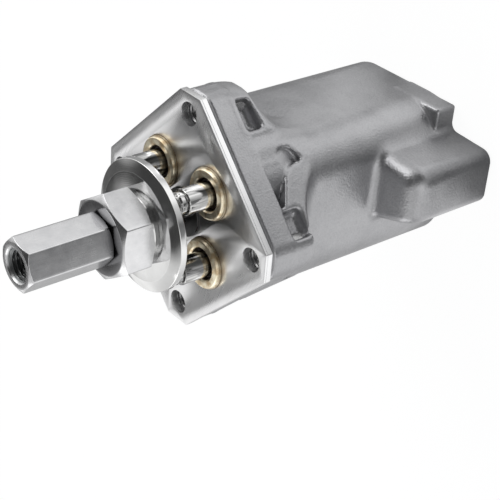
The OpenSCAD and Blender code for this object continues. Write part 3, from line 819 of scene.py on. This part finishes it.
def pulled(field, points, rounds=3, step=0.02, least_slope=0.2, longest=0.4):
    """Moves each point to the skin: along the slope of the field, by value / slope, a few times. The
    square of the slope counts as least_slope or more, and no move along an axis is over longest."""
    for _ in range(rounds):
        slope = np.stack([(field(points + shift) - field(points - shift)) / (2 * step)
                          for shift in np.eye(3) * step], axis=-1)
        square_size = np.maximum((slope ** 2).sum(axis=-1), least_slope)
        move = -field(points)[:, None] * slope / square_size[:, None]
        points = points + np.clip(move, -longest, longest)
    return points


def levels(*stretches):
    """Grid levels from rows of start, end and spacing."""
    parts = [np.linspace(a, b, int(round(abs(b - a) / s)), endpoint=False) for a, b, s in stretches]
    return np.concatenate([*parts, [stretches[-1][1]]])


ACROSS, FOOT_LAYER, RIDGE_LAYER, FLANGE_LAYER = 0.82, 0.72, 2.0, 0.66
RIDGES_LOW, RIDGES_HIGH = -62.0, -40.0
across_x = levels((-38.3, 53.0, ACROSS))
across_y = levels((-41.0, 38.3, ACROSS))
up_z = levels((FOOT_Z - 1.1, RIDGES_LOW, FOOT_LAYER), (RIDGES_LOW, RIDGES_HIGH, RIDGE_LAYER),
              (RIDGES_HIGH, BODY_TOP + 1.0, FLANGE_LAYER))
skin_points, skin_faces = nets(casting_field, (across_x, across_y, up_z))
skin_points = pulled(casting_field, skin_points)
add_piece("casting_skin", skin_points, skin_faces, "casting", "housing", "casting",
          ["valve_body"], 60.0)

# %% [markdown]
# The mounting plate is a polygon with nine holes. Its wall is a stack of outlines, each a little
# further in or down, which gives the edge its small bevels and the fine line between the two layers.
# Top and bottom are flat polygons with holes, and Blender's own tessellator fills those.

# %% Mounting plate
PLATE_FOOT = plate_low[2]
CORNER_R = 0.7
BEVEL, BEVEL_MIDDLE = 0.22, 0.06
LINE_Z, LINE_DEPTH, LINE_MOUTH, LINE_FLOOR = -0.9, 0.16, 0.1, 0.04
BUSH_HOLE_R, JOINT_HOLE_R = 10.05, 6.05


def octagon(inset):
    """Outline of the plate, moved inwards by inset."""
    h, c = PLATE_W / 2 - inset, CORNER_CUT - inset * (2 - np.sqrt(2))
    one = np.array([[h, -h + c, CORNER_R], [h, h - c, CORNER_R]])
    turns = [np.array([[0, -1], [1, 0]]), -np.eye(2), np.array([[0, 1], [-1, 0]])]
    corners = [one] + [np.column_stack([one[:, :2] @ turn.T, one[:, 2]]) for turn in turns]
    return rounded_rows(np.concatenate(corners)[:, None], 5)[:, 0]


def circle(centre, radius, steps=64):
    angle = full_turn(steps)
    return np.column_stack([centre[0] + radius * np.cos(angle), centre[1] + radius * np.sin(angle)])


def wall(outline, profile):
    """Rows of an outline function, one for each inset and height of the profile."""
    rows = [np.column_stack([flat, np.full(len(flat), z)]) for flat, z in
            ((outline(inset), z) for inset, z in profile)]
    return np.concatenate(rows), grid_faces(len(rows), len(rows[0]), close_rows=False)


def flat_cap(loops, z):
    """Top or bottom of the plate: the first loop is its edge, the others are holes. A triangle is
    written as a quad whose last two corners are one."""
    flat = np.concatenate(loops)
    triangles = np.array(tessellate_polygon([[Vector((*p, 0)) for p in loop] for loop in loops]))
    up = np.cross(flat[triangles[:, 1]] - flat[triangles[:, 0]],
                  flat[triangles[:, 2]] - flat[triangles[:, 0]]) > 0
    triangles = np.where(up[:, None] == (z > PLATE_FOOT / 2), triangles, triangles[:, ::-1])
    return np.column_stack([flat, np.full(len(flat), z)]), triangles[:, [0, 1, 2, 2]]


PLATE_HOLES = ([(p, MOUNT_R) for p in MOUNT_PLACES] + [(p, BUSH_HOLE_R) for p in ROD_PLACES]
               + [((0, 0), JOINT_HOLE_R)])
rim = [(BEVEL, 0.0), (BEVEL_MIDDLE, -BEVEL_MIDDLE), (0.0, -BEVEL),
       (0.0, LINE_Z + LINE_MOUTH), (LINE_DEPTH, LINE_Z + LINE_FLOOR),
       (LINE_DEPTH, LINE_Z - LINE_FLOOR), (0.0, LINE_Z - LINE_MOUTH),
       (0.0, PLATE_FOOT + BEVEL), (BEVEL_MIDDLE, PLATE_FOOT + BEVEL_MIDDLE), (BEVEL, PLATE_FOOT)]
bore = [(-BEVEL, PLATE_FOOT), (0.0, PLATE_FOOT + BEVEL), (0.0, -BEVEL),
        (-BEVEL_MIDDLE, -BEVEL_MIDDLE), (-BEVEL, 0.0)]
parts = [wall(octagon, rim)]
for place, radius in PLATE_HOLES:
    parts.append(wall(lambda inset, p=place, r=radius: circle(p, r - inset), bore))
for z in (0.0, PLATE_FOOT):
    parts.append(flat_cap([octagon(BEVEL)] + [circle(p, r + BEVEL) for p, r in PLATE_HOLES], z))
add_piece("plate_ground", *joined(*parts), "plate", "housing", "plate_steel", ["mounting_plate"],
          28.0)

# %% [markdown]
# Bushes, wipers and rods are all turned. The brass bushes have a wide rounding on the outside and a
# step at the foot of it, which shows as a second thin ring. A rod ends in a neck, a head and a dome.
# Heights and diameters come from the boxes of the CAD nodes where a box has them.

# %% Bushes, wipers and rods
BUSH_TOP, BUSH_FOOT = bush_high[2], bush_low[2]
COLLAR_R, COLLAR_TOP, COLLAR_FOOT = bush_high[1], BODY_TOP - 0.01, BODY_TOP - 2.7
BUSH_R, WIPER_R, BORE_R = COLLAR_R - 1.5, 6.3, ROD_D / 2 + 0.03
STEP_R = BUSH_R - 0.45
wiper_low, wiper_high = box_of("rod_wiper_1")
WIPER_FOOT, WIPER_TOP = wiper_low[2], wiper_high[2]
WIPER_LIP = WIPER_TOP - 0.8
GROOVE_R, GROOVE_Z = BUSH_R - 1.8, (COLLAR_FOOT + BUSH_FOOT) / 2
GROOVE_LOW, GROOVE_HIGH = GROOVE_Z - 1.1, GROOVE_Z + 1.1
bush_profile = rounded([
    [BORE_R, BUSH_FOOT, 0.2], [BUSH_R, BUSH_FOOT, 0.6], [BUSH_R, GROOVE_LOW, 0.15],
    [GROOVE_R, GROOVE_LOW, 0.15], [GROOVE_R, GROOVE_HIGH, 0.15], [BUSH_R, GROOVE_HIGH, 0.15],
    [BUSH_R, COLLAR_FOOT, 0.0], [COLLAR_R, COLLAR_FOOT, 0.2], [COLLAR_R, COLLAR_TOP, 0.1],
    [BUSH_R, COLLAR_TOP, 0.0], [BUSH_R, 0.6, 0.2], [STEP_R, 0.75, 0.06], [STEP_R, BUSH_TOP, 0.75],
    [WIPER_R + 0.6, BUSH_TOP, 0.2], [WIPER_R, BUSH_TOP - 0.6, 0.2], [WIPER_R, WIPER_FOOT, 0.0],
    [BORE_R, WIPER_FOOT, 0.0]])
wiper_profile = rounded([
    [BORE_R, WIPER_FOOT, 0.0], [WIPER_R, WIPER_FOOT, 0.0], [WIPER_R, WIPER_LIP, 0.3],
    [WIPER_R - 0.7, WIPER_LIP, 0.1], [BORE_R + 0.25, WIPER_TOP, 0.1], [BORE_R, WIPER_TOP, 0.05]])
DOME_R, HEAD_R, NECK_R = 5.4, 4.2, 3.6
dome_centre = rod_high[2] - DOME_R
dome_edge = dome_centre + np.sqrt(DOME_R ** 2 - HEAD_R ** 2)
neck_low, neck_high = dome_edge - 2.3, dome_edge - 1.6
tip = np.linspace(np.arcsin(HEAD_R / DOME_R), 0, 12)[1:]
dome = np.column_stack([DOME_R * np.sin(tip), dome_centre + DOME_R * np.cos(tip), 0 * tip])
rod_profile = rounded(np.concatenate([[
    [0, rod_low[2], 0], [ROD_D / 2, rod_low[2], 0.4], [ROD_D / 2, neck_low, 0.5],
    [NECK_R, neck_low, 0.12], [NECK_R, neck_high, 0.12], [HEAD_R, neck_high, 0.15],
    [HEAD_R, dome_edge, 0.3]], dome]))
for number, place in enumerate(ROD_PLACES, start=1):
    add_piece(f"bush_turned_{number}", *turned(bush_profile, 80, place), "brass", "housing",
              "turned_brass", [f"bush_{number}"], 32.0)
    add_piece(f"wiper_lip_{number}", *turned(wiper_profile, 64, place), "wiper", "housing",
              "wiper_rubber", [f"rod_wiper_{number}"], 40.0)
    add_piece(f"rod_polished_{number}", *turned(rod_profile, 64, place), "chrome",
              f"plunger_{number}", "rod_chrome", [f"pushrod_{number}"], 30.0)

# %% [markdown]
# The swash plate is a disc with a bevelled face and a hub. Its bevel is what the light shows first,
# so the edges beside it stay small.

# %% Swash plate
SWASH_R, HUB_R, STUD_R = (swash_high[0] - swash_low[0]) / 2, 12.0, 8.0
SWASH_BORE_R = STUD_R + 0.05
FACE_Z, FACE_R, RIM_Z = swash_high[2] - 2.1, SWASH_R - 4.4, swash_high[2] - 3.6
disc_profile = rounded([
    [SWASH_BORE_R, swash_low[2], 0.1], [SWASH_R, swash_low[2], 0.35], [SWASH_R, RIM_Z, 0.3],
    [FACE_R, FACE_Z, 0.5], [HUB_R, FACE_Z, 0.25], [HUB_R, swash_high[2], 0.2],
    [SWASH_BORE_R, swash_high[2], 0.1]])
add_piece("swash_turned", *turned(disc_profile, 160), "swash", "stick", "turned_steel",
          ["swash_plate"], 24.0)

# %% [markdown]
# A nut is a hexagon bar whose corners are turned off with a cone. Drawn as a grid that needs no
# cutting: each column is one direction round the axis, its hexagon radius is known, and the height
# where the cone takes over follows from that radius. This gives the curved edges on the flats. The
# edges get their rounding from the same formula as the lathe profiles, for all columns at once.

# %% Nuts
CONE_START, CONE_DEG = 0.475, 30
MOUTH_EDGE, FACE_EDGE, CONE_EDGE = 0.08, 0.35, 0.22


def hexagon_radii(flats, turn_deg, corner_r, arc_points=7, side_points=14):
    """Angle and radius of points round a hexagon with rounded corners."""
    tip = flats / np.sqrt(3)
    start = np.radians(turn_deg) + np.arange(6) * np.pi / 3
    corners = np.column_stack([tip * np.cos(start), tip * np.sin(start), np.full(6, corner_r)])
    arcs = rounded_rows(corners[:, None], arc_points)[:, 0].reshape(6, arc_points, 2)
    s = np.linspace(0, 1, side_points + 2)[1:-1][None, :, None]
    side = (1 - s) * arcs[:, -1:] + s * np.roll(arcs, -1, axis=0)[:, :1]
    outline = np.concatenate([arcs, side], axis=1).reshape(-1, 2)
    return np.arctan2(outline[:, 1], outline[:, 0]), np.linalg.norm(outline, axis=1)


def hexagon_rows(radius, flats, low, high, mouth_low, mouth_high):
    """Outside of a nut from its upper mouth to its lower mouth, one column for each radius. The cone
    starts at CONE_START of the width across flats and falls 1 mm in every 1.73 mm."""
    face = CONE_START * flats
    drop = (radius - face) * np.tan(np.radians(CONE_DEG))
    flat = np.ones_like(radius)
    corners = [(mouth_high * flat, high * flat, MOUTH_EDGE), (face * flat, high * flat, FACE_EDGE),
               (radius, high - drop, CONE_EDGE), (radius, low + drop, CONE_EDGE),
               (face * flat, low * flat, FACE_EDGE), (mouth_low * flat, low * flat, MOUTH_EDGE)]
    return rounded_rows(np.stack([np.stack([r, z, c * flat], axis=-1) for r, z, c in corners]), 6)


def add_nut(name, rows, angle, node):
    """A nut from its rows of radius and height, one column for each angle."""
    add_piece(name, *ring_mesh(rows, angle), "hexagon", "stick", "turned_steel", [node], 20.0)


LOCK_AF, LOCK_TURN, LOCK_CORNER = 29.6, -11.0, 0.8
angle, radius = hexagon_radii(LOCK_AF, LOCK_TURN, LOCK_CORNER)
rows = hexagon_rows(radius, LOCK_AF, lock_low[2], lock_high[2], STUD_R, STUD_R + 0.6)
add_nut("lock_nut_milled", rows, angle, "lock_nut")

# %% [markdown]
# The coupling nut is open at the top, and its M12 thread shows there. The thread is a wave in the
# radius: the height divided by the pitch, less the angle as a part of a turn, tells where in the
# wave a point is. That makes a right-handed helix of the same grid. It fades out at both ends.

# %% Coupling nut with its thread
COUPLING_AF, COUPLING_TURN, COUPLING_CORNER = 18.0, 4.5, 0.9
PITCH, THREAD_R, CREST_R, MOUTH_R = 1.75, 6.0, 5.1, 6.7
THREAD_START, THREAD_FOOT, RELIEF_R = 0.8, 14.0, THREAD_R + 0.45


def thread_radius(angle, height, pitch, crest, root):
    """Radius of an inner thread: straight sides between a crest of 0.12 of the pitch and a root of
    0.3 of it."""
    turn = (height / pitch - angle / (2 * np.pi)) % 1.0
    wave = np.clip(1.5 - np.abs(turn - 0.5) * 3.4, 0, 1)
    return crest + (root - crest) * wave


def threaded_rows(angle, high, low, pitch, crest, root, steps=12):
    """Rows of a threaded bore from its high end to its low end, faded to the root at both ends."""
    height = np.linspace(high, low, int((high - low) / pitch * steps) + 1)[:, None]
    fade = ease(high - height, 0.0, 0.5 * pitch) * ease(height - low, 0.0, 0.5 * pitch)
    radius = thread_radius(angle[None], height, pitch, crest, root)
    return np.stack(np.broadcast_arrays(root - (root - radius) * fade, height), axis=-1)


angle, radius = hexagon_radii(COUPLING_AF, COUPLING_TURN, COUPLING_CORNER)
top, foot = coupling_high[2], coupling_low[2]
relief = foot + THREAD_FOOT
outside = hexagon_rows(radius, COUPLING_AF, foot, top, THREAD_R, MOUTH_R)
groove = np.array([[THREAD_R, relief], [RELIEF_R, relief + 0.1], [RELIEF_R, relief + 0.9],
                   [THREAD_R, relief + 1.0]])
groove = np.broadcast_to(groove[:, None], (len(groove), len(angle), 2))
thread = threaded_rows(angle, top - THREAD_START, relief + 1.0, PITCH, CREST_R, THREAD_R)
add_nut("coupling_nut_milled", np.concatenate([outside, groove, thread[:-1][::-1]]), angle,
        "coupling_nut")

# %% [markdown]
# The casting's mounting holes are threaded behind the plate, and the ports in the foot take G 1/4
# fittings. Each is a short sleeve with the same thread wave on its inside. Their outer wall lies in
# the metal of the casting, so no hole has to be cut to fit them.

# %% Threaded holes in the casting


def sleeve(place, profile, thread, columns=72):
    """A closed ring: a profile of radius and height on the outside and a thread on the inside."""
    angle = full_turn(columns)
    outside = np.broadcast_to(np.array(profile, float)[:, None], (len(profile), columns, 2))
    return ring_mesh(np.concatenate([outside, threaded_rows(angle, *thread)]), angle, place)


SKIN_GAP = 0.02
MOUNT_LOW, MOUNT_WALL_R, MOUNT_CREST_R, MOUNT_PITCH = -21.5, 5.2, 4.05, 1.25
mount_outside = [(MOUNT_R, MOUNT_LOW - 0.5), (MOUNT_WALL_R, MOUNT_LOW - 0.5),
                 (MOUNT_WALL_R, BODY_TOP - SKIN_GAP), (MOUNT_R + 0.1, BODY_TOP - SKIN_GAP)]
mount_thread = (BODY_TOP - 0.3, MOUNT_LOW, MOUNT_PITCH, MOUNT_CREST_R, MOUNT_R)
PORT_WALL_R, PORT_ROOT_R, PORT_CREST_R, PORT_PITCH = 9.0, 6.58, 5.72, 1.337
GALLERY_R = 4.1
port_end = FOOT_Z + 11.0
ledge_low, ledge_high = port_end + 0.3, port_end + 1.6
port_outside = [(PORT_ROOT_R, ledge_low), (GALLERY_R, ledge_low), (GALLERY_R, ledge_high),
                (PORT_WALL_R, ledge_high), (PORT_WALL_R, FOOT_Z + SKIN_GAP),
                (PORT_R - 0.1, FOOT_Z + SKIN_GAP)]
port_thread = (port_end, FOOT_Z + 0.5, PORT_PITCH, PORT_CREST_R, PORT_ROOT_R)
for kind, places, profile, thread in (("mount", MOUNT_PLACES, mount_outside, mount_thread),
                                      ("port", PORT_PLACES, port_outside, port_thread)):
    for number, place in enumerate(places, start=1):
        add_piece(f"{kind}_thread_{number}", *sleeve(place, profile, thread), "thread", "housing",
                  "casting", (), 30.0)

# %% [markdown]
# The universal joint under the plate is made of milled blocks and pins. Their shape in the packed
# model is right already, only its edges are razor sharp. So a copy of each mesh is merged, which
# turns its loose triangles into one skin, and a Bevel modifier breaks every edge over 30 degrees.

# %% Pieces of the joint with broken edges
JOINT_PIECES = {"joint_base": "housing", "joint_block": "cross", "joint_long_pin": "cross",
                "joint_short_pins": "cross", "joint_fork": "stick"}
BROKEN_EDGE, SHARP_DEG = 0.25, 30.0


def merged_copy(node_name, ending, body, sharp_deg):
    """Copy of a CAD node with its triangles merged to one skin. It stands for the node."""
    mesh = bpy.data.meshes.new(node_name + ending)
    shape = bmesh.new()
    shape.from_mesh(frame["nodes"][node_name].data)
    bmesh.ops.remove_doubles(shape, verts=shape.verts, dist=2e-6)
    bmesh.ops.dissolve_limit(shape, angle_limit=np.radians(1), verts=shape.verts, edges=shape.edges)
    shape.to_mesh(mesh)
    shape.free()
    return show(mesh, finish_for(node_name), body, [node_name], sharp_deg)


def break_edges(piece):
    """A small bevel on every sharp edge."""
    bevel = piece.modifiers.new("broken edges", "BEVEL")
    bevel.width = BROKEN_EDGE * MM
    bevel.segments = 2
    bevel.limit_method = "ANGLE"
    bevel.angle_limit = np.radians(SHARP_DEG)
    bevel.harden_normals = True


for node_name, body in JOINT_PIECES.items():
    break_edges(merged_copy(node_name, "_milled", body, SHARP_DEG))

# %% [markdown]
# Two coil springs stand under each rod, deep in the casting. A rigid coil would cut into its seat
# when the stick tips and the rod sinks; here each coil is a merged copy with a mesh of its own, and
# only the share of its length that it would keep at its rod's longest slide is worked out. The inner
# coil stands on the spool, which sinks a little too, so it loses less.

# %% Springs, with the share of their length that they would keep


def slide_mm(joint):
    """Longest way of a sliding joint from rest, in millimetres."""
    return next(j["range_m"][1] for j in frame["joints"] if j["name"] == joint) / MM


def soft_spring(node_name, body, shorter_mm):
    """A merged copy of a coil, with a mesh of its own. Returns the share of its length that it would
    keep when it is shorter_mm shorter.
    """
    low, high = box_of(node_name)
    coil = merged_copy(node_name, "_coiled", body, 60.0)
    keep = 1 - shorter_mm / float(high[2] - low[2])
    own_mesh(coil)
    return keep


for number in range(1, 5):
    rod_joint = f"pushrod_slide_{number}"
    rod_way, spool_way = slide_mm(rod_joint), slide_mm(f"spool_slide_{number}")
    outer = soft_spring(f"return_spring_{number}", "housing", rod_way)
    inner = soft_spring(f"metering_spring_{number}", f"spool_set_{number}",
                        rod_way - spool_way)
print("at the limit the outer coil keeps", round(outer, 3), "and the inner one", round(inner, 3))

# %% [markdown]
# The studio is a pale floor, a white surround and three soft lamps. Bright metal shows its room, so
# the room is white to the camera but has grey and black cards for reflections, as a photographer of
# steel hangs them. The cards in the sky are strips along X, one set behind the valve and one in
# front of it, and each row gives a place from -1 to 1 along Y and its brightness. The cards on the
# floor are a glow that only reflections see, sectors round the stick axis, by angle in degrees, and
# darker in a ring close to the foot, as painted shade. The floor is mostly white light to the camera,
# with enough plain white in it to keep the shadow.

# %% Studio
SKY_CARDS = [
    (-1.0, 0.8), (-0.5, 0.6), (-0.28, 0.8), (-0.16, 1.1), (0.08, 1.1), (0.115, 0.25), (0.13, 0.04),
    (0.20, 0.04), (0.22, 0.7), (0.24, 0.7), (0.28, 0.12), (0.50, 0.12), (0.62, 0.9), (0.7, 1.1),
    (1.0, 1.1)]
FRONT_CARDS = [
    (-1.0, 0.8), (-0.5, 0.8), (-0.32, 0.7), (-0.2, 0.06), (0.55, 0.06), (0.68, 1.0), (1.0, 1.1)]
FRONT_FROM, FRONT_TO = -0.68, -0.5
FLOOR_CARDS = [
    (-180, 0.45), (-115, 0.85), (-75, 1.5), (-62, 1.3), (-52, 0.9), (-45, 0.2), (-26, 0.1),
    (-16, 0.55), (2, 0.9), (12, 1.5), (36, 1.5), (52, 0.8), (68, 1.3), (82, 1.1), (94, 0.4),
    (130, 0.35), (180, 0.45)]
# Painted shade: the floor's mirrored glow is darker in a ring close to the foot.
FLOOR_RINGS = [(0.0, 0.35), (0.042, 0.45), (0.050, 1.0), (1.0, 1.0)]
FLOOR_R, FLOOR_GAP = 3.0, 0.0002
WHITE = (1, 1, 1, 1)
FILL_COLOUR, FILL_LEVEL = (0.93, 0.96, 1.0, 1), 0.30
FLOOR_GREY, FLOOR_GLOW = (0.88, 0.88, 0.88, 1), 1.095
GLOW_SHARE, MIRROR_SHARE = 0.86, 0.8
LAMP_AIM = (0, 0, -0.03)


def make_world():
    """White to the camera, the cards to a mirror, and a pale fill to everything else."""
    world = bpy.data.worlds.new("studio")
    bpy.context.scene.world = world
    world.use_nodes = True
    sky = Graph(world.node_tree)
    x, y = sky.split(sky.node("ShaderNodeTexCoord", {}, "Generated"))[:2]
    across = sky.spread(y, 0, 1, -1, 1)
    behind, front = [sky.greys(across, [((place + 1) / 2, grey) for place, grey in cards])
                     for cards in (SKY_CARDS, FRONT_CARDS)]
    cards = sky.mix(sky.spread(x, 0, 1, FRONT_FROM, FRONT_TO), behind, front)
    mirrored = sky.node("ShaderNodeBackground", {0: cards, 1: 1.0})
    fill = sky.node("ShaderNodeBackground", {0: FILL_COLOUR, 1: FILL_LEVEL})
    backdrop = sky.tree.nodes["Background"]
    sky.put(backdrop, {0: WHITE})
    camera_ray, glossy_ray = sky.rays()
    lit = sky.either(glossy_ray, fill, mirrored)
    shown = sky.either(camera_ray, lit, Signal(sky, backdrop.outputs[0]))
    sky.put(sky.tree.nodes["World Output"], {0: shown})


def make_floor():
    """White to the camera with a shadow; to a mirror it shows the cards round the axis."""
    ground = Finish("pale_floor")
    ground.tree.nodes.remove(ground.shader)
    x, y = ground.split(ground.node("ShaderNodeTexCoord", {}, "Object"))[:2]
    around = ground.spread(y.math("ARCTAN2", x), 0, 1, -np.pi, np.pi)
    card = ground.greys(around, [((degrees + 180) / 360, grey) for degrees, grey in FLOOR_CARDS])
    # Painted shade in the floor's mirrored glow, in a ring round the foot.
    ring = ground.greys((x * x + y * y).root(), FLOOR_RINGS)
    plain = ground.node("ShaderNodeBsdfDiffuse", {0: FLOOR_GREY})
    white = ground.node("ShaderNodeEmission", {0: WHITE, 1: FLOOR_GLOW})
    mirrored = ground.node("ShaderNodeEmission", {0: WHITE, 1: card * ring})
    camera_ray, glossy_ray = ground.rays()
    seen = ground.either(camera_ray * GLOW_SHARE, plain, white)
    shown = ground.either(glossy_ray * MIRROR_SHARE, seen, mirrored)
    ground.put(ground.tree.nodes["Material Output"], {0: shown})
    mesh = bpy.data.meshes.new("floor")
    shape = bmesh.new()
    bmesh.ops.create_circle(shape, cap_ends=True, segments=64, radius=FLOOR_R)
    bmesh.ops.translate(shape, verts=shape.verts, vec=(0, 0, FOOT_Z * MM - FLOOR_GAP))
    shape.to_mesh(mesh)
    shape.free()
    mesh.materials.append(ground.material)
    linked("floor", mesh)


def lamp(name, place, size, power):
    """A soft rectangular lamp that looks at the valve."""
    data = bpy.data.lights.new(name, "AREA")
    data.shape = "RECTANGLE"
    data.size, data.size_y = size
    data.energy = power
    light = linked(name, data)
    light.location = place
    towards = Vector(LAMP_AIM) - Vector(place)
    light.rotation_euler = towards.to_track_quat("-Z", "Y").to_euler()


make_world()
make_floor()
lamp("key", (0.10, 1.05, 0.70), (0.9, 0.8), 4)
lamp("fill", (0.65, -0.95, 0.35), (0.9, 0.6), 1.1)
lamp("back", (-0.60, -0.75, 0.50), (0.7, 0.7), 2)
bpy.context.scene.view_settings.view_transform = "Standard"
print("studio is lit")
